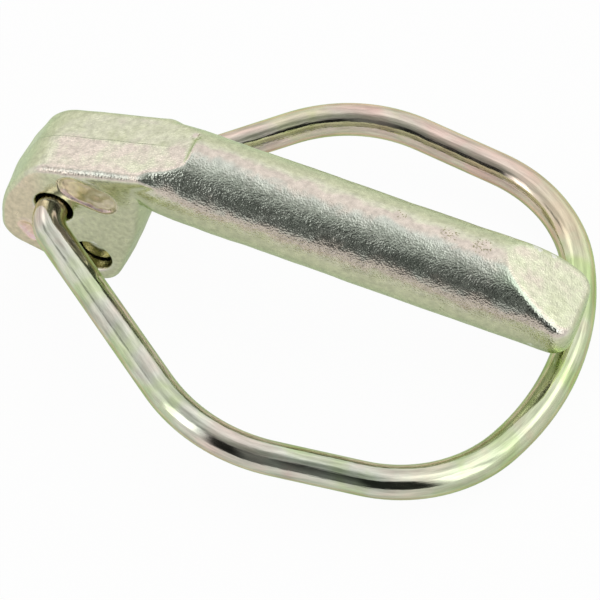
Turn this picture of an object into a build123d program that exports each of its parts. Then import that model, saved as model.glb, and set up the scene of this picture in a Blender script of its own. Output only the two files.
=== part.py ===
import os
from math import asin, atan2, cos, radians, sin, sqrt, tan

from build123d import *

# Lynch pin, closed, lying on a flat surface: a drop forged pin and a spring wire ring.
# Every size is in millimetres and every angle in degrees.
# Places on the pin are given as (x, z): x runs along the shank's axis from the shoulder
# under the head to the tip, and z is the height above that axis. y runs across the pin.

# Shank
shank_diameter = 10.0
shank_length = 46.0
tip_edge_round = 2.1
tip_flat_length = 8.8
tip_flat_depth = 4.3
tip_flat_turn = 11.0
tip_flat_edge_round = 0.9

# Head, a flat plate that hangs below the shank
head_thickness = 9.2
head_draft = 4.0
head_edge_round = 0.9
crest_x = 2.8
crest_drop = 0.4
top_corner = (-13.9, -1.75)
back_corner = (-17.1, -8.7)
heel_corner = (-17.1, -15.6)
toe_corner = (-3.4, -18.9)
throat_corner = (-1.0, -8.0)
top_round = 6.0
back_round = 10.0
heel_round = 3.2
toe_round = 3.3
throat_round = 14.0
shoulder_end_inset = 0.1
shoulder_end_drop = 2.3
shoulder_round = 2.0
neck_back_x = -2.4
neck_back_radius = 4.3
neck_front_x = 0.2
neck_front_radius = 4.85

# Holes for the ring's ends, one above and behind the other
upper_hole = (-10.65, -7.45)
lower_hole = (-6.0, -13.6)
hole_clearance = 0.3
hole_mouth_round = 0.4

# Shallow sunk fields on the near side of the head
field_length = 6.4
field_width = 3.4
field_centre = (-6.8, -3.1)
field_turn = -8.0
field_depth = 0.3
small_field_length = 2.6
small_field_width = 1.3
small_field_centre = (-13.3, -12.9)
small_field_turn = -52.0

# Ring of spring wire, in a plane of its own that climbs towards the tip
wire_diameter = 3.6
wire_end_round = 0.6
ring_side_play = -1.9
ring_tilt = 1.8
bow_short_of_tip = 0.25
bow_rest_gap = 0.25
bow_arc_share = 0.99
bow_half_angle = 23.4
bow_corner_half_width = 20.15
bow_corner_round = 15.4
side_length = 25.7
side_taper = 7.6
belly_round = 19.0
leg_bend_round = 4.0
leg_stand_off = 2.1
leg_end_inset = 1.5

shank_radius = shank_diameter / 2
wire_radius = wire_diameter / 2
hole_radius = wire_radius + hole_clearance
half_head = head_thickness / 2

# Outline of the head at its middle plane
crest = (crest_x, shank_radius - crest_drop)
top_slope = (crest[1] - top_corner[1]) / (crest[0] - top_corner[0])
shoulder_end = (crest_x - shoulder_end_inset, crest[1] - shoulder_end_drop)
shoulder_top = (throat_corner[0], crest[1] - (crest_x - throat_corner[0]) * top_slope)
head_outline = [
    shoulder_end,
    shoulder_top,
    top_corner,
    back_corner,
    heel_corner,
    toe_corner,
    throat_corner,
    (throat_corner[0], 0),
]
head_rounds = [
    0,
    shoulder_round,
    top_round,
    back_round,
    heel_round,
    toe_round,
    throat_round,
    0,
]


# Centre of the round that joins two straight stretches of an outline
def round_centre(before, corner, after, radius):
    here = Vector(*corner)
    towards_before = (Vector(*before) - here).normalized()
    towards_after = (Vector(*after) - here).normalized()
    half_angle = radians(towards_before.get_angle(towards_after)) / 2
    return here + (towards_before + towards_after).normalized() * (radius / sin(half_angle))


# The bow crosses under the tip and lies against the round of its lower edge
bow_x = shank_length - bow_short_of_tip
tip_round_x = shank_length - tip_edge_round
tip_round_z = tip_edge_round - shank_radius
bow_seat = tip_edge_round + wire_radius + bow_rest_gap
bow_z = tip_round_z - sqrt(bow_seat**2 - (bow_x - tip_round_x) ** 2)

# The pin lies on the round of the head's toe and on the underside of the bow
heel_centre = round_centre(back_corner, heel_corner, toe_corner, heel_round)
toe_centre = round_centre(heel_corner, toe_corner, throat_corner, toe_round)
bow_centre = Vector(bow_x, bow_z)
toe_to_bow = bow_centre - toe_centre
lean = atan2(toe_to_bow.Y, toe_to_bow.X) + asin((toe_round - wire_radius) / toe_to_bow.length)


# Distances along and above the floor from the shoulder, for a place on the tilted pin
def along_floor(place):
    return place.X * cos(lean) + place.Y * sin(lean)


def above_axis(place):
    return place.Y * cos(lean) - place.X * sin(lean)


back_end = along_floor(heel_centre) - heel_round
front_end = along_floor(bow_centre) + wire_radius
shoulder = Vector(
    -(back_end + front_end) / 2,
    -ring_side_play,
    toe_round - above_axis(toe_centre),
)

# Working plane of the pin: x along the shank, its second axis up, facing the near side
side = Plane(origin=shoulder, x_dir=(cos(lean), 0, -sin(lean)), z_dir=(0, -1, 0))
near_face = side.offset(half_head)
shank_axis = Axis(side.origin, side.x_dir)


# A point of the row from its place (x, y, z) on the pin
def on_pin(x, y, z):
    return side.from_local_coords(Vector(x, z, -y))


# Head plate: tapered both ways from its middle plane, as it leaves the two halves of a die
with BuildPart() as head_plate:
    with BuildSketch(side):
        with BuildLine():
            FilletPolyline(*head_outline, radius=head_rounds, close=True)
        make_face()
    extrude(amount=half_head, both=True, taper=head_draft)
    flat_sides = faces().filter_by(Axis.Y)
    fillet(flat_sides.edges(), head_edge_round)
    with BuildSketch(side):
        with Locations(upper_hole, lower_hole):
            Circle(hole_radius)
    extrude(amount=head_thickness, both=True, mode=Mode.SUBTRACT)
    mouths = edges().filter_by(GeomType.CIRCLE).filter_by(
        lambda edge: abs(edge.radius - hole_radius) < hole_clearance / 10
    )
    fillet(mouths, hole_mouth_round)
    with BuildSketch(near_face):
        with Locations(field_centre):
            SlotOverall(field_length, field_width, rotation=field_turn)
        with Locations(small_field_centre):
            SlotOverall(small_field_length, small_field_width, rotation=small_field_turn)
    extrude(amount=-field_depth, mode=Mode.SUBTRACT)

# Neck: it swells from the plate to the full shank, and the head's sloping top cuts it off
with BuildPart() as neck:
    with BuildSketch(side):
        with BuildLine():
            Polyline(
                (neck_back_x, 0),
                (neck_back_x, neck_back_radius),
                (neck_front_x, neck_front_radius),
                (crest_x, shank_radius),
                (crest_x, 0),
                close=True,
            )
        make_face()
    revolve(axis=shank_axis)
    with BuildSketch(side):
        with BuildLine():
            Polyline(
                crest,
                (-2 * shank_radius, crest[1] - (crest_x + 2 * shank_radius) * top_slope),
                (-2 * shank_radius, -2 * shank_radius),
                (crest_x + shank_radius, -2 * shank_radius),
                (crest_x + shank_radius, crest[1] + shank_radius * top_slope),
                close=True,
            )
        make_face()
    extrude(amount=shank_diameter, both=True, taper=head_draft, mode=Mode.INTERSECT)

with BuildPart() as forged_pin:
    with BuildSketch(side):
        with BuildLine():
            FilletPolyline(
                (crest_x, 0),
                (crest_x, shank_radius),
                (shank_length, shank_radius),
                (shank_length, 0),
                radius=[0, tip_edge_round],
            )
            Line((shank_length, 0), (crest_x, 0))
        make_face()
    revolve(axis=shank_axis)
    add(neck.part)
    add(head_plate.part)

    # Flat pressed on the upper side of the tip, turned a little to the far side
    tip_flat_start = shank_length - tip_flat_length
    tip_flat_slope = tip_flat_depth / tip_flat_length
    turned_side = side.rotated((-tip_flat_turn, 0, 0))
    with BuildSketch(turned_side):
        with BuildLine():
            Polyline(
                (tip_flat_start - tip_flat_length, shank_radius + tip_flat_depth),
                (shank_length + tip_flat_length, shank_radius + tip_flat_depth),
                (shank_length + tip_flat_length, shank_radius - 2 * tip_flat_depth),
                close=True,
            )
        make_face()
    extrude(amount=shank_diameter, both=True, mode=Mode.SUBTRACT)
    flat_direction = turned_side.x_dir * tip_flat_slope + turned_side.y_dir
    tip_flat = faces().filter_by(GeomType.PLANE).sort_by(
        lambda face: face.normal_at().dot(flat_direction)
    )[-1]
    fillet(tip_flat.edges(), tip_flat_edge_round)

forged_pin.part.label = "forged_pin"


# Ring: one length of wire, bent through legs, belly and bow, with an end in each hole
def on_ring(x, half_width):
    return on_pin(x, ring_side_play + half_width, bow_z - (bow_x - x) * tan(radians(ring_tilt)))


# The bow's arc takes up what the rounds of its two corners leave of the front
bow_corner_turn = 90 - bow_half_angle - side_taper
bow_front_run = bow_corner_half_width / cos(radians(bow_half_angle))
bow_tangent = bow_front_run - bow_corner_round * tan(radians(bow_corner_turn) / 2)
bow_radius = bow_arc_share * bow_tangent / tan(radians(bow_half_angle))
bow_peak_x = bow_x - bow_radius + bow_radius / cos(radians(bow_half_angle))
bow_corner_x = bow_peak_x - bow_corner_half_width * tan(radians(bow_half_angle))
belly_x = bow_corner_x - side_length * cos(radians(side_taper))
belly_half_width = bow_corner_half_width + side_length * sin(radians(side_taper))
leg_corner_y = half_head + leg_stand_off
leg_end_y = half_head - leg_end_inset
ring_route = [
    on_pin(upper_hole[0], leg_end_y, upper_hole[1]),
    on_pin(upper_hole[0], -leg_corner_y, upper_hole[1]),
    on_ring(belly_x, -belly_half_width),
    on_ring(bow_corner_x, -bow_corner_half_width),
    on_ring(bow_peak_x, 0),
    on_ring(bow_corner_x, bow_corner_half_width),
    on_ring(belly_x, belly_half_width),
    on_pin(lower_hole[0], leg_corner_y, lower_hole[1]),
    on_pin(lower_hole[0], -leg_end_y, lower_hole[1]),
]
ring_rounds = [
    leg_bend_round,
    belly_round,
    bow_corner_round,
    bow_radius,
    bow_corner_round,
    belly_round,
    leg_bend_round,
]

with BuildPart() as spring_ring:
    with BuildLine() as wire_centre:
        FilletPolyline(*ring_route, radius=ring_rounds)
    with BuildSketch(Plane(origin=wire_centre.line @ 0, z_dir=wire_centre.line % 0)):
        Circle(wire_radius)
    sweep(path=wire_centre.line)
    wire_ends = faces().filter_by(GeomType.PLANE)
    fillet(wire_ends.edges(), wire_end_round)

spring_ring.part.label = "spring_ring"

os.makedirs("parts", exist_ok=True)
export_step(forged_pin.part, "parts/forged_pin.step")
export_step(spring_ring.part, "parts/spring_ring.step")
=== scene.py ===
import bpy
from math import cos, pi, radians, sin, tan
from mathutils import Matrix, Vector, noise


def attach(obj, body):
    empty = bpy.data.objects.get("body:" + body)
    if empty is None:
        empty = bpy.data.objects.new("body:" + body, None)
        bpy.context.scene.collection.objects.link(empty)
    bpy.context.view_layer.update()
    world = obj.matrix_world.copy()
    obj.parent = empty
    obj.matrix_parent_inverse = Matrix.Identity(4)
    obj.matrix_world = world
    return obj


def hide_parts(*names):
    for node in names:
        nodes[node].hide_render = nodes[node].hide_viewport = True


# Lynch pin lying closed on a pale table, all sizes in metres
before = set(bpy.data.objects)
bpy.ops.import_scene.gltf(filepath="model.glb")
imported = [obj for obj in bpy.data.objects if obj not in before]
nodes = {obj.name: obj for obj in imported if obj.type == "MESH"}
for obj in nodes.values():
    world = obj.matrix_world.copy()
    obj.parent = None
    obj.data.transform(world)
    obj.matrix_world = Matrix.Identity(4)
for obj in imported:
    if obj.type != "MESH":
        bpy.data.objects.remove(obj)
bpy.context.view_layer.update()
print("frame loaded", sorted(nodes))

camera = {
    "place": (0.104841, -0.191731, 0.271252),
    "turn": (38.585, 5.996, 20.966),
    "lens": 195.93,
    "sensor": 36.0,
}

studio = {
    "white": (1.0, 1.0, 1.0, 1.0),
    "low": (0.80, 0.80, 0.78, 1.0),     # the sky close to the table
    # round patches, angles in degrees: a dim ceiling over the near side, a paler part
    # to its left, and a soft lamp overhead
    "rounds": [
        {
            "name": "ceiling",
            "towards": (-0.10, -0.27, 0.957), "radius": 18, "soft": 9,
            "colour": (0.30, 0.32, 0.29, 1.0),
        },
        {
            "name": "upperLeft",
            "towards": (-0.36, -0.03, 0.932), "radius": 15, "soft": 8,
            "colour": (0.74, 0.74, 0.72, 1.0),
        },
        {
            "name": "topLamp",
            "towards": (0.50, 0.10, 0.86), "radius": 14, "soft": 8,
            "colour": (1.50, 1.50, 1.48, 1.0),
        },
    ],
    # four-sided patches, in degrees: left and right are counted round from straight in front
    # of the pin, low and high up from the table, and a later patch covers an earlier one
    "patches": [
        {
            "name": "darkRoom",
            "left": -27, "right": 50, "low": 1, "high": 58, "softSide": 4, "softHeight": 8,
            "colour": (0.022, 0.024, 0.022, 1.0),
        },
        {
            "name": "leftLamp",
            "left": -50, "right": -34, "low": 16, "high": 56, "softSide": 3, "softHeight": 6,
            "colour": (2.10, 2.10, 2.08, 1.0),
        },
        {
            "name": "rightLamp",
            "left": 58, "right": 80, "low": 8, "high": 48, "softSide": 5, "softHeight": 6,
            "colour": (2.10, 2.10, 2.08, 1.0),
        },
        {
            "name": "leftGap",
            "left": -92, "right": -66, "low": 41, "high": 50, "softSide": 6, "softHeight": 4,
            "colour": (0.30, 0.31, 0.29, 1.0),
        },
        {
            "name": "leftHighLamp",
            "left": -122, "right": -97, "low": 40, "high": 58, "softSide": 4, "softHeight": 5,
            "colour": (1.55, 1.55, 1.53, 1.0),
        },
        {
            "name": "backLamp",
            "left": 120, "right": 168, "low": 6, "high": 32, "softSide": 8, "softHeight": 5,
            "colour": (1.08, 1.08, 1.06, 1.0),
        },
        {
            "name": "backRightLamp",
            "left": 92, "right": 136, "low": 22, "high": 44, "softSide": 5, "softHeight": 5,
            "colour": (1.70, 1.70, 1.68, 1.0),
        },
        {
            "name": "roomMiddle",
            "left": -9, "right": 9, "low": 1, "high": 58, "softSide": 4, "softHeight": 10,
            "colour": (0.16, 0.17, 0.16, 1.0),
        },
    ],
}

floorLook = {
    "size": 3.0,
    "colour": (0.78, 0.78, 0.76, 1.0),
    "cameraShare": 0.96,
    "glossShare": 0.32,
}

mergeGap = 0.000002         # points closer than this become one
broadLevels = (0.25, 0.75)  # a broad noise has its full effect at these values and past them
fineLevels = (0.3, 0.7)     # and a fine one at these


# node helpers: places are only where a node stands in the editor, and a source is
# either another node's output or a plain value
def newMaterial(name):
    material = bpy.data.materials.new(name)
    material.use_nodes = True
    tree = material.node_tree
    tree.nodes.clear()
    return material, tree


def addNode(tree, kind, place, settings=None, sources=None):
    node = tree.nodes.new(kind)
    node.location = place
    for key, value in (settings or {}).items():
        setattr(node, key, value)
    for key, source in (sources or {}).items():
        if isinstance(source, bpy.types.NodeSocket):
            tree.links.new(source, node.inputs[key])
        else:
            node.inputs[key].default_value = source
    return node


def addMath(tree, place, operation, *sources):
    node = addNode(tree, "ShaderNodeMath", place, {"operation": operation},
                   dict(enumerate(sources)))
    return node.outputs[0]


# a vector from two vectors, or their dot product or distance
def addVector(tree, place, operation, first, second):
    node = addNode(tree, "ShaderNodeVectorMath", place, {"operation": operation},
                   {0: first, 1: second})
    return node.outputs["Value" if operation in ("DOT_PRODUCT", "DISTANCE") else "Vector"]


def addParts(tree, place, vector):
    return addNode(tree, "ShaderNodeSeparateXYZ", place, None, {0: vector}).outputs


# one span of values moved to another
def addRange(tree, place, source, span, target, change="LINEAR"):
    node = addNode(tree, "ShaderNodeMapRange", place, {"interpolation_type": change},
                   {"Value": source, "From Min": span[0], "From Max": span[1],
                    "To Min": target[0], "To Max": target[1]})
    return node.outputs[0]


# a mask that goes smoothly from 0 at the first level to 1 at the second
def addStep(tree, place, source, levels):
    return addRange(tree, place, source, levels, (0.0, 1.0), "SMOOTHSTEP")


def addMix(tree, place, share, first, second, blend="MIX"):
    node = addNode(tree, "ShaderNodeMix", place, {"data_type": "RGBA", "blend_type": blend},
                   {0: share, 6: first, 7: second})
    return node.outputs[2]


def addNoise(tree, place, where, scale, detail=2.0, rough=0.5, twist=0.0):
    node = addNode(tree, "ShaderNodeTexNoise", place, None,
                   {"Vector": where, "Scale": scale, "Detail": detail,
                    "Roughness": rough, "Distortion": twist})
    return node.outputs[0]


def addRamp(tree, place, source, bands):
    ramp = addNode(tree, "ShaderNodeValToRGB", place, None, {0: source})
    stops = ramp.color_ramp.elements
    while len(stops) < len(bands):
        stops.new(0.5)
    for stop, (position, colour) in zip(stops, bands):
        stop.position = position
        stop.color = colour
    return ramp.outputs[0]


# a bump on top of the one before it
def addBump(tree, place, height, distance, before=None, strength=1.0):
    sources = {"Height": height, "Distance": distance, "Strength": strength}
    if before is not None:
        sources["Normal"] = before
    return addNode(tree, "ShaderNodeBump", place, None, sources).outputs[0]


# passivation colour painted by how the surface faces one fixed view direction: a painted
# iridescent sheen, with painted shade on surfaces turned away, that strays by patches
def addPaintedSheen(tree, normal, patch, look):
    lie = addVector(tree, (-1600, 800), "DOT_PRODUCT", normal, look["sheenTowards"])
    half = look["sheenStray"] / 2
    stray = addRange(tree, (-1300, 500), patch, broadLevels, (-half, half))
    tone = addMath(tree, (-1100, 700), "ADD", lie, stray)
    return addRamp(tree, (-900, 600), tone, look["bands"])


def addMetal(tree, colour, rough, normal, look):
    metal = addNode(tree, "ShaderNodeBsdfPrincipled", (-100, 100), None,
                    {"Metallic": 1.0, "Specular Tint": look["edgeTint"],
                     "Base Color": colour, "Roughness": rough, "Normal": normal})
    addNode(tree, "ShaderNodeOutputMaterial", (200, 100), None, {"Surface": metal.outputs[0]})


# studio: both kinds of patch are masks of the sky, 1 inside and 0 outside
def addRound(tree, ray, patch, row):
    closeness = addVector(tree, (-1200, row), "DOT_PRODUCT", ray, patch["towards"])
    edge = [cos(radians(patch["radius"] + soft)) for soft in (patch["soft"], -patch["soft"])]
    return addStep(tree, (-1000, row), closeness, edge)


def addPatch(tree, turn, height, patch, row):
    side, rise = radians(patch["softSide"]), radians(patch["softHeight"])
    left, right, low, high = (radians(patch[key]) for key in ("left", "right", "low", "high"))
    pastLeft = addStep(tree, (-800, row + 150), turn, (left - side, left + side))
    pastRight = addStep(tree, (-800, row), turn, (right + side, right - side))
    aboveLow = addStep(tree, (-600, row + 150), height, (low - rise, low + rise))
    belowHigh = addStep(tree, (-600, row), height, (high + rise, high - rise))
    across = addMath(tree, (-400, row + 150), "MULTIPLY", pastLeft, pastRight)
    upright = addMath(tree, (-400, row), "MULTIPLY", aboveLow, belowHigh)
    return addMath(tree, (-200, row), "MULTIPLY", across, upright)


def makeWorld(look):
    world = bpy.data.worlds.new("softStudio")
    bpy.context.scene.world = world
    world.use_nodes = True
    tree = world.node_tree
    tree.nodes.clear()
    ray = addNode(tree, "ShaderNodeTexCoord", (-1800, 0)).outputs["Generated"]
    parts = addParts(tree, (-1600, 0), ray)
    front = addMath(tree, (-1400, 100), "MULTIPLY", parts["Y"], -1.0)
    turn = addMath(tree, (-1200, 200), "ARCTAN2", parts["X"], front)
    height = addMath(tree, (-1200, -100), "ARCSINE", parts["Z"])
    rise = addStep(tree, (0, 0), height, (0.0, 1.0))
    sky = addMix(tree, (200, 0), rise, look["low"], look["white"])
    for index, patch in enumerate(look["rounds"] + look["patches"]):
        if "towards" in patch:
            mask = addRound(tree, ray, patch, 400 + 300 * index)
        else:
            mask = addPatch(tree, turn, height, patch, -400 * (index + 1))
        sky = addMix(tree, (400 + 200 * index, -200), mask, sky, patch["colour"])
        sky.node.label = patch["name"]
    seen = addNode(tree, "ShaderNodeLightPath", (2600, 500)).outputs["Is Camera Ray"]
    shown = addMix(tree, (2800, 200), seen, sky, look["white"])
    background = addNode(tree, "ShaderNodeBackground", (3000, 200), None,
                         {"Color": shown, "Strength": 1.0})
    addNode(tree, "ShaderNodeOutputWorld", (3200, 200), None,
            {"Surface": background.outputs[0]})


# the table is nearly white to the camera and partly so in reflections, so shadows stay faint
def makeFloor(look):
    bpy.ops.object.select_all(action="DESELECT")
    bpy.ops.mesh.primitive_plane_add(size=look["size"], location=(0, 0, 0))
    floor = bpy.context.object
    floor.name = "floor"
    material, tree = newMaterial("paleTable")
    plain = addNode(tree, "ShaderNodeBsdfDiffuse", (0, 0), None, {"Color": look["colour"]})
    white = addNode(tree, "ShaderNodeEmission", (0, -150), None,
                    {"Color": (1.0, 1.0, 1.0, 1.0), "Strength": 1.0})
    path = addNode(tree, "ShaderNodeLightPath", (-400, 300)).outputs
    seen = addMath(tree, (-200, 300), "MULTIPLY", path["Is Camera Ray"], look["cameraShare"])
    gloss = addMath(tree, (-200, 150), "MULTIPLY", path["Is Glossy Ray"], look["glossShare"])
    share = addMath(tree, (0, 200), "ADD", seen, gloss)
    mix = addNode(tree, "ShaderNodeMixShader", (200, 0), None,
                  {0: share, 1: plain.outputs[0], 2: white.outputs[0]})
    addNode(tree, "ShaderNodeOutputMaterial", (400, 0), None, {"Surface": mix.outputs[0]})
    floor.data.materials.append(material)


def makeCamera(look):
    data = bpy.data.cameras.new("camera")
    data.lens = look["lens"]
    data.sensor_width = look["sensor"]
    item = bpy.data.objects.new("camera", data)
    bpy.context.scene.collection.objects.link(item)
    item.location = look["place"]
    item.rotation_euler = [radians(angle) for angle in look["turn"]]
    bpy.context.scene.camera = item


bpy.context.scene.view_settings.view_transform = "Standard"
makeWorld(studio)
makeFloor(floorLook)
makeCamera(camera)
print("studio set")


# shape helpers
def onlySelect(item):
    bpy.ops.object.select_all(action="DESELECT")
    item.select_set(True)
    bpy.context.view_layer.objects.active = item


def mergePoints(item):
    onlySelect(item)
    bpy.ops.object.mode_set(mode="EDIT")
    bpy.ops.mesh.select_all(action="SELECT")
    bpy.ops.mesh.remove_doubles(threshold=mergeGap)
    bpy.ops.mesh.select_all(action="DESELECT")
    bpy.ops.object.mode_set(mode="OBJECT")


def applyModifier(item, name, kind, settings):
    modifier = item.modifiers.new(name, kind)
    for key, value in settings.items():
        setattr(modifier, key, value)
    onlySelect(item)
    bpy.ops.object.modifier_apply(modifier=modifier.name)


def easeStep(value):
    value = min(max(value, 0.0), 1.0)
    return value * value * (3 - 2 * value)


# forged pin
forging = {
    "grid": 0.00022,                # spacing of the new surface
    "softenFactor": 0.5,
    "softenRounds": 3,
    "swell": (0.0042, 0.00016),     # size and height of the broad unevenness
    "dimple": (0.0011, 0.00002),    # and of the fine one
    "cloudDepth": 1,
    "middle": 0.72,                 # above one half, so both cut in more than they stand out
    # sunk fields in the near face of the head: middle (x, z), half of the straight run, half
    # width, turn in degrees, and change of depth, where less than zero is shallower
    "fields": [
        ((-0.02036, 0.01506), 0.0015, 0.0017, -18.8, -0.00010),
        ((-0.02858, 0.00665), 0.0007, 0.0007, -62.8, -0.00008),
    ],
    "face": -0.0027,                # where the near face lies across the pin
    "facePlay": 0.0007,             # points this close to it belong to it
    "fieldWall": 0.0004,            # a field's floor is reached this far inside its edge
    "fieldStray": 0.9,
    "fieldStrayScale": 1100,
    "lip": 0.00005,                 # height of the soft lip, outside the edge by lipMiddle
    "lipMiddle": 0.0003,
    "lipHalf": 0.0004,
    "fieldTintReach": 0.0004,
    "fieldTintSoft": 0.0003,
    # pits: the notch where the head's top meets the shank, then those in the scale of the
    # shank, each by its place, radius and depth
    "pits": [
        ((-0.009665, 0.003748, 0.020915), 0.00080, 0.00030),
        ((0.012800, 0.002500, 0.016960), 0.00090, 0.00004),
        ((0.018200, 0.002350, 0.015950), 0.00120, 0.00004),
        ((0.021700, 0.002200, 0.015300), 0.00130, 0.00006),
        ((0.018567, -0.003064, 0.010214), 0.00050, 0.00008),
    ],
    # painted iridescent sheen of the passivation, from surfaces turned away from the fixed view
    # direction to those facing it: darker yellow-green turned away, pale and pink between,
    # grey-green facing it
    "sheenTowards": (0.30, -0.55, 0.78),
    "bands": [
        (0.00, (0.60, 0.61, 0.43, 1.0)),
        (0.60, (0.68, 0.69, 0.49, 1.0)),
        (0.70, (0.75, 0.74, 0.58, 1.0)),
        (0.77, (0.75, 0.66, 0.58, 1.0)),
        (0.85, (0.72, 0.64, 0.56, 1.0)),
        (0.93, (0.62, 0.64, 0.57, 1.0)),
        (1.00, (0.60, 0.64, 0.56, 1.0)),
    ],
    "sheenStray": 0.16,
    "patchScale": 330.0,
    "fleckScale": 1500.0,
    "fleckTone": 0.16,
    # each mask by the two levels between which it comes in: x of a place, y or z of the way the
    # surface faces, the pits' own mark, noise, pointiness, or distance from a hole or a line
    "headX": (-0.0110, -0.0140),
    "nearFaceY": (-0.80, -0.97),
    "backEndX": (-0.0240, -0.0275),
    "tipFlatX": (0.0225, 0.0262),
    "tipFlatZ": (0.72, 0.88),
    "tipEdgesX": (0.0205, 0.0225),
    "pitArea": (0.0, 0.6),
    "pitSpecks": (0.54, 0.66),
    "edgeWearAndHighlightPoint": (0.510, 0.550),
    "holeShadeEdge": (0.00235, 0.00205),
    "partingLine": (0.00022, 0.00003),
    "dieLine": (0.00020, 0.00004),
    "speckScale": 4200.0,
    "backEndTint": (1.12, 0.96, 1.02, 1.0),
    "tipFlatTint": (0.97, 1.06, 0.96, 1.0),
    "fieldTint": (1.34, 1.14, 1.26, 1.0),
    "pitTint": (0.44, 0.46, 0.32, 1.0),
    # pale colour on sharp edges: wear, and a painted highlight on rims that catch the light
    "edgeWearAndHighlightTint": (0.86, 0.85, 0.78, 1.0),
    # painted shade in the holes: darker and brassier
    "holeShade": (0.42, 0.37, 0.16, 1.0),
    "holes": [(-0.024960, 0.0, 0.011510), (-0.021540, 0.0, 0.004600)],
    # grains of scale under the zinc, with finer dust on them, over broad waves
    "grainScale": 5000.0,
    "grainSmoothness": 0.5,
    "grainHeight": 0.000034,
    "nearFaceGrain": 0.25,          # share of the grain that is left on the pressed near face
    "dustScale": 9000.0,
    "dustShare": 0.35,
    "waveScale": 900.0,
    "waveHeight": 0.000012,
    # where the two dies met on the head, and the ring that the die left round the shank
    "partingY": 0.0019,
    "partingHeight": 0.00005,
    "shankStart": (-0.013107, 0.0, 0.016840),
    "shankAlong": (0.98242, 0.0, -0.18669),
    "dieLineAt": 0.0031,
    "dieLineHeight": 0.000014,
    "rough": (0.17, 0.28),
    "fieldRough": 0.30,
    "edgeTint": (0.86, 1.0, 0.78, 1.0),
}


def makeForging(look):
    item = bpy.data.objects.new("pinForging", nodes["forged_pin"].data.copy())
    bpy.context.scene.collection.objects.link(item)
    mergePoints(item)
    applyModifier(item, "regrid", "REMESH", {"mode": "VOXEL", "voxel_size": look["grid"]})
    applyModifier(item, "soften", "SMOOTH",
                  {"factor": look["softenFactor"], "iterations": look["softenRounds"]})
    for name in ("swell", "dimple"):
        size, height = look[name]
        cloud = bpy.data.textures.new(name, "CLOUDS")
        cloud.noise_scale = size
        cloud.noise_depth = look["cloudDepth"]
        applyModifier(item, name, "DISPLACE",
                      {"texture": cloud, "texture_coords": "LOCAL",
                       "strength": height, "mid_level": look["middle"]})
    for name in ("fieldTint", "pitTint"):
        item.data.attributes.new(name, "FLOAT", "POINT")
    sinkFields(item, look)
    sinkPits(item, look)
    bpy.ops.object.shade_smooth()
    return item


# give the fields a shallower, uneven floor with a soft lip round it, and mark them for the tint
def sinkFields(item, look):
    tint = item.data.attributes["fieldTint"].data
    for vertex in item.data.vertices:
        place = vertex.co
        if abs(place.y - look["face"]) > look["facePlay"]:
            continue
        for (middleX, middleZ), run, half, turn, depth in look["fields"]:
            dx, dz = place.x - middleX, place.z - middleZ
            along = dx * cos(radians(turn)) + dz * sin(radians(turn))
            across = dz * cos(radians(turn)) - dx * sin(radians(turn))
            past = max(abs(along) - run, 0.0)
            gap = (past * past + across * across) ** 0.5 - half
            marked = easeStep((look["fieldTintReach"] - gap) / look["fieldTintSoft"])
            tint[vertex.index].value = max(tint[vertex.index].value, marked)
            if gap < 0:
                spot = Vector((place.x, 0.0, place.z)) * look["fieldStrayScale"]
                floor = 1.0 + look["fieldStray"] * noise.noise(spot)
                vertex.co.y += depth * floor * easeStep(-gap / look["fieldWall"])
            elif gap < look["lipMiddle"] + look["lipHalf"]:
                offMiddle = abs(gap - look["lipMiddle"]) / look["lipHalf"]
                vertex.co.y -= look["lip"] * (1 - easeStep(offMiddle))


# the tint is full over the inner half of a pit
def sinkPits(item, look):
    tint = item.data.attributes["pitTint"].data
    for vertex in item.data.vertices:
        for place, radius, depth in look["pits"]:
            gap = (vertex.co - Vector(place)).length
            if gap < radius:
                inward = 1 - gap / radius
                tint[vertex.index].value = easeStep(2 * inward)
                vertex.co -= vertex.normal * depth * easeStep(inward)


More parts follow.
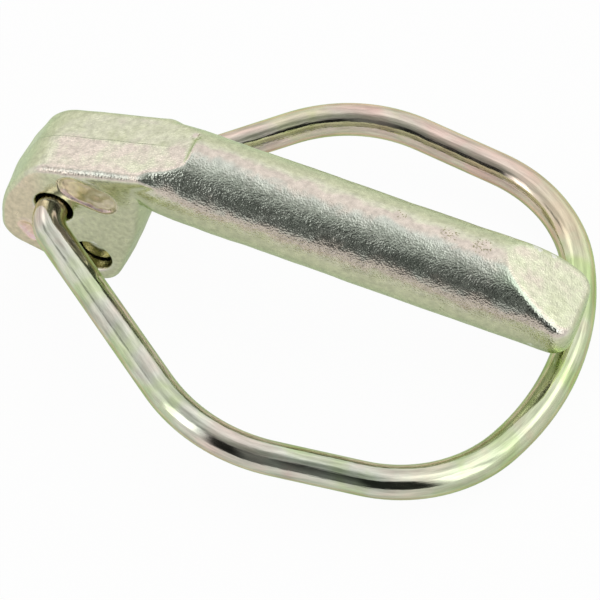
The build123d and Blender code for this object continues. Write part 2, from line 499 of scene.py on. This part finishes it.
def makeForgedZinc(look):
    material, tree = newMaterial("forgedZinc")
    place = addNode(tree, "ShaderNodeTexCoord", (-1800, 0)).outputs["Object"]
    surface = addNode(tree, "ShaderNodeNewGeometry", (-1800, 800)).outputs
    where = addParts(tree, (-1500, -600), place)
    lie = addParts(tree, (-1500, -750), surface["Normal"])
    patch = addNoise(tree, (-1500, 400), place, look["patchScale"],
                     detail=3.0, rough=0.6, twist=0.4)
    fleck = addNoise(tree, (-1500, 150), place, look["fleckScale"], rough=0.6)
    # painted iridescent sheen and shade, set by how the surface faces a fixed view direction
    bands = addPaintedSheen(tree, surface["Normal"], patch, look)
    tone = look["fleckTone"]
    flecks = addRange(tree, (-1100, 150), fleck, fineLevels, (1 - tone, 1 + tone))
    shade = addMix(tree, (-600, 500), 1.0, bands, flecks, "MULTIPLY")

    # pink on the back end of the near face and in the fields, green on the flat of the tip,
    # olive specks in the pits
    onHead = addStep(tree, (-1200, -420), where["X"], look["headX"])
    facing = addStep(tree, (-1200, -500), lie["Y"], look["nearFaceY"])
    nearFace = addMath(tree, (-1050, -450), "MULTIPLY", facing, onHead)
    farBack = addStep(tree, (-1200, -650), where["X"], look["backEndX"])
    backEnd = addMath(tree, (-1000, 900), "MULTIPLY", farBack, nearFace)
    atTip = addStep(tree, (-1200, 1000), where["X"], look["tipFlatX"])
    facingUp = addStep(tree, (-1200, 1150), lie["Z"], look["tipFlatZ"])
    tipFlat = addMath(tree, (-1000, 1050), "MULTIPLY", atTip, facingUp)
    inField, pitDepth = (
        addNode(tree, "ShaderNodeAttribute", (-1400, row), {"attribute_name": name}).outputs["Fac"]
        for name, row in (("fieldTint", 1300), ("pitTint", 1450)))
    speck = addNoise(tree, (-1400, 1600), place, look["speckScale"])
    inPit = addMath(tree, (-1000, 1500), "MULTIPLY",
                    addStep(tree, (-1200, 1450), pitDepth, look["pitArea"]),
                    addStep(tree, (-1200, 1600), speck, look["pitSpecks"]))
    tints = ((backEnd, "backEndTint"), (tipFlat, "tipFlatTint"),
             (inField, "fieldTint"), (inPit, "pitTint"))
    for row, (mask, name) in enumerate(tints):
        shade = addMix(tree, (-800 + 120 * row, 1200), mask, shade, look[name], "MULTIPLY")

    # paler sharp edges on the head and round the flat of the tip: partly wear, partly a painted
    # highlight on the rims that catch the light
    tipEdges = addStep(tree, (-1200, 850), where["X"], look["tipEdgesX"])
    offShank = addMath(tree, (-1050, 850), "MAXIMUM", onHead, tipEdges)
    pointed = addStep(tree, (-1050, 1000), surface["Pointiness"], look["edgeWearAndHighlightPoint"])
    edgeWearAndHighlight = addMath(tree, (-900, 900), "MULTIPLY", pointed, offShank)
    shade = addMix(tree, (-400, 600), edgeWearAndHighlight, shade, look["edgeWearAndHighlightTint"])

    # painted shade in the two holes and round their mouths: a darker, brassier colour
    flat = addVector(tree, (-1500, 1100), "MULTIPLY", place, (1.0, 0.0, 1.0))
    holeShadeMasks = []
    for row, hole in enumerate(look["holes"]):
        gap = addVector(tree, (-1300, 1100 + 200 * row), "DISTANCE", flat, hole)
        holeShadeMasks.append(addStep(tree, (-1100, 1100 + 200 * row), gap, look["holeShadeEdge"]))
    inHoleShade = addMath(tree, (-900, 1100), "MAXIMUM", *holeShadeMasks)
    shade = addMix(tree, (-250, 700), inHoleShade, shade, look["holeShade"])

    # rounded grains of scale, coarse on the shank and faint on the pressed near face
    grain = addNode(tree, "ShaderNodeTexVoronoi", (-1500, -100), {"feature": "SMOOTH_F1"},
                    {"Vector": place, "Scale": look["grainScale"],
                     "Smoothness": look["grainSmoothness"]})
    dust = addNoise(tree, (-1500, -220), place, look["dustScale"], detail=1.0)
    dusting = addMath(tree, (-1300, -220), "MULTIPLY", dust, look["dustShare"])
    height = addMath(tree, (-1150, -160), "ADD", grain.outputs[0], dusting)
    coarse = addRange(tree, (-900, -300), nearFace, (0.0, 1.0), (1.0, look["nearFaceGrain"]))
    wave = addNoise(tree, (-1500, -350), place, look["waveScale"])

    # the line where the dies met, and the ring round the shank
    offMiddle = addMath(tree, (-1300, -600), "SUBTRACT", where["Y"], look["partingY"])
    fromLine = addMath(tree, (-1150, -600), "ABSOLUTE", offMiddle)
    parting = addStep(tree, (-1000, -600), fromLine, look["partingLine"])
    seam = addMath(tree, (-800, -700), "MULTIPLY", parting, onHead)
    fromStart = addVector(tree, (-1500, -1000), "SUBTRACT", place, look["shankStart"])
    along = addVector(tree, (-1300, -1000), "DOT_PRODUCT", fromStart, look["shankAlong"])
    offRing = addMath(tree, (-1150, -1000), "SUBTRACT", along, look["dieLineAt"])
    fromRing = addMath(tree, (-1000, -1000), "ABSOLUTE", offRing)
    dieLine = addStep(tree, (-850, -1000), fromRing, look["dieLine"])

    bump = addBump(tree, (-600, -350), wave, look["waveHeight"])
    bump = addBump(tree, (-700, -700), seam, look["partingHeight"], bump)
    bump = addBump(tree, (-550, -700), dieLine, look["dieLineHeight"], bump)
    bump = addBump(tree, (-400, -150), height, look["grainHeight"], bump, coarse)
    rough = addRange(tree, (-600, 50), fleck, fineLevels, look["rough"])
    duller = addMath(tree, (-450, 50), "MULTIPLY", inField, look["fieldRough"])
    rough = addMath(tree, (-300, 50), "MAXIMUM", rough, duller)
    addMetal(tree, shade, rough, bump, look)
    return material


pinForging = makeForging(forging)
pinForging.data.materials.clear()
pinForging.data.materials.append(makeForgedZinc(forging))
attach(pinForging, "pin")
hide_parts("forged_pin")
print("pin forged", len(pinForging.data.polygons), "faces")

# spring ring
wire = {
    "radius": 0.0018,
    "corners": [
        (-0.024960, 0.005000, 0.011510),
        (-0.024960, -0.004800, 0.011510),
        (-0.000506, -0.023549, 0.006705),
        (0.024670, -0.020150, 0.002736),
        (0.033287, 0.000000, 0.001377),
        (0.024670, 0.020150, 0.002736),
        (-0.000506, 0.023549, 0.006705),
        (-0.021540, 0.008600, 0.004600),
        (-0.021540, -0.001200, 0.004600),
    ],
    "rounds": [0.004, 0.019, 0.0154, 0.030296, 0.0154, 0.019, 0.004],
    "stepsAlong": 20,
    "stepsAround": 10,
    "endRound": 0.0006,
    "endSteps": 4,
    "smoothAngle": 40,
    # painted sheen and shade stripes of the passivation, from surfaces turned away from the fixed
    # view direction to those facing it: darker olive turned away, pink and pale towards it
    "sheenTowards": (0.30, -0.55, 0.78),
    "bands": [
        (0.00, (0.46, 0.49, 0.27, 1.0)),
        (0.28, (0.54, 0.58, 0.36, 1.0)),
        (0.45, (0.68, 0.57, 0.47, 1.0)),
        (0.58, (0.60, 0.64, 0.52, 1.0)),
        (0.78, (0.67, 0.66, 0.57, 1.0)),
        (1.00, (0.63, 0.67, 0.58, 1.0)),
    ],
    "sheenStray": 0.22,
    # green, pale and pink patches on top of the bands
    "patchScale": 160.0,
    "patchTints": [
        (0.34, (0.87, 0.98, 0.74, 1.0)),
        (0.50, (1.0, 1.0, 1.0, 1.0)),
        (0.68, (1.08, 0.90, 0.93, 1.0)),
    ],
    # a greener bow and a pinker far side: axis, the two levels between which the tint comes
    # in, and the tint
    "sideTints": [
        ("X", (0.016, 0.028), (0.96, 1.02, 0.84, 1.0)),
        ("Y", (0.008, 0.018), (1.08, 0.95, 0.94, 1.0)),
    ],
    "streaksAlong": 34.0,           # streaks follow the wire: few along it, many round it
    "streaksAround": 3.4,
    "streakTone": 0.26,
    "streakHeight": 0.000024,
    "rough": (0.05, 0.15),
    "edgeTint": (0.88, 1.0, 0.76, 1.0),
}


# points of the centre line, which is straight runs joined by arcs, as the wire is bent on its
# former: each with the length of its handle on the arc's side and the way the wire heads
def wirePoints(look):
    corners = [Vector(corner) for corner in look["corners"]]
    points = [(corners[0], 0.0, (corners[1] - corners[0]).normalized())]
    for before, corner, after, bend in zip(corners, corners[1:], corners[2:], look["rounds"]):
        arriving = (corner - before).normalized()
        leaving = (after - corner).normalized()
        turn = arriving.angle(leaving)
        reach = bend * tan(turn / 2)
        handle = 4 / 3 * tan(turn / 4) * bend
        points.append((corner - arriving * reach, handle, arriving))
        points.append((corner + leaving * reach, handle, leaving))
    points.append((corners[-1], 0.0, (corners[-1] - corners[-2]).normalized()))
    return points


def makeWire(look):
    points = wirePoints(look)
    data = bpy.data.curves.new("springWire", "CURVE")
    data.dimensions = "3D"
    data.bevel_depth = look["radius"]
    data.bevel_resolution = look["stepsAround"]
    data.resolution_u = look["stepsAlong"]
    data.use_fill_caps = True
    line = data.splines.new("BEZIER")
    line.bezier_points.add(len(points) - 1)
    for index, (point, (place, handle, heading)) in enumerate(zip(line.bezier_points, points)):
        entering = index % 2 == 1
        before = (place - points[max(index - 1, 0)][0]).length / 3
        after = (points[min(index + 1, len(points) - 1)][0] - place).length / 3
        point.co = place
        point.handle_left_type = point.handle_right_type = "FREE"
        point.handle_left = place - heading * (before if entering else handle)
        point.handle_right = place + heading * (handle if entering else after)
    item = bpy.data.objects.new("springWire", data)
    bpy.context.scene.collection.objects.link(item)
    onlySelect(item)
    bpy.ops.object.convert(target="MESH")
    mergePoints(item)
    # the two ends are the only faces with more than four corners
    for face in item.data.polygons:
        face.select = len(face.vertices) > 4
    bpy.ops.object.mode_set(mode="EDIT")
    bpy.context.tool_settings.mesh_select_mode = (False, False, True)
    bpy.ops.mesh.select_mode(type="FACE")
    bpy.ops.mesh.region_to_loop()
    bpy.ops.mesh.bevel(offset=look["endRound"], segments=look["endSteps"], profile=0.5)
    bpy.ops.mesh.select_all(action="SELECT")
    bpy.ops.mesh.normals_make_consistent(inside=False)
    bpy.ops.object.mode_set(mode="OBJECT")
    bpy.ops.object.shade_smooth_by_angle(angle=radians(look["smoothAngle"]))
    return item


def makeWireZinc(look):
    material, tree = newMaterial("wireZinc")
    place = addNode(tree, "ShaderNodeTexCoord", (-1800, 0)).outputs
    normal = addNode(tree, "ShaderNodeNewGeometry", (-1800, 800)).outputs["Normal"]
    patch = addNoise(tree, (-1500, 300), place["Object"], look["patchScale"],
                     detail=3.0, twist=0.5)
    # painted sheen and shade stripes along the wire, set by how it faces a fixed view direction
    bands = addPaintedSheen(tree, normal, patch, look)
    patches = addRamp(tree, (-850, 300), patch, look["patchTints"])
    shade = addMix(tree, (-600, 450), 1.0, bands, patches, "MULTIPLY")
    where = addParts(tree, (-1250, -600), place["Object"])
    for row, (axis, levels, tint) in enumerate(look["sideTints"]):
        mask = addStep(tree, (-650, 700 + 150 * row), where[axis], levels)
        shade = addMix(tree, (-500 + 120 * row, 650), mask, shade, tint, "MULTIPLY")

    # drawn wire: fine streaks along it, laid out by the angle round the wire, taken as its
    # cosine and sine so that it closes without a seam, and by the bearing along the ring
    layout = addParts(tree, (-1250, -300), place["UV"])
    turn = addMath(tree, (-1100, -300), "MULTIPLY", layout["Y"], 2 * pi)
    spot = []
    for kind, row in (("COSINE", -250), ("SINE", -400)):
        wave = addMath(tree, (-950, row), kind, turn)
        spot.append(addMath(tree, (-800, row), "MULTIPLY", wave, look["streaksAround"]))
    bearing = addMath(tree, (-1100, -550), "ARCTAN2", where["Y"], where["X"])
    share = look["streaksAlong"] / (2 * pi)
    spot.append(addMath(tree, (-950, -550), "MULTIPLY", bearing, share))
    spot = addNode(tree, "ShaderNodeCombineXYZ", (-650, -350), None, dict(enumerate(spot)))
    streak = addNoise(tree, (-500, -350), spot.outputs[0], 1.0, detail=3.0, rough=0.65)
    tone = look["streakTone"]
    streaks = addRange(tree, (-300, -200), streak, fineLevels, (1 - tone, 1 + tone))
    shade = addMix(tree, (-400, 300), 1.0, shade, streaks, "MULTIPLY")
    rough = addRange(tree, (-600, 50), streak, fineLevels, look["rough"])
    bump = addBump(tree, (-300, -450), streak, look["streakHeight"])
    addMetal(tree, shade, rough, bump, look)
    return material


springWire = makeWire(wire)
springWire.data.materials.clear()
springWire.data.materials.append(makeWireZinc(wire))
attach(springWire, "ring")
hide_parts("spring_ring")
print("wire bent", len(springWire.data.polygons), "faces")
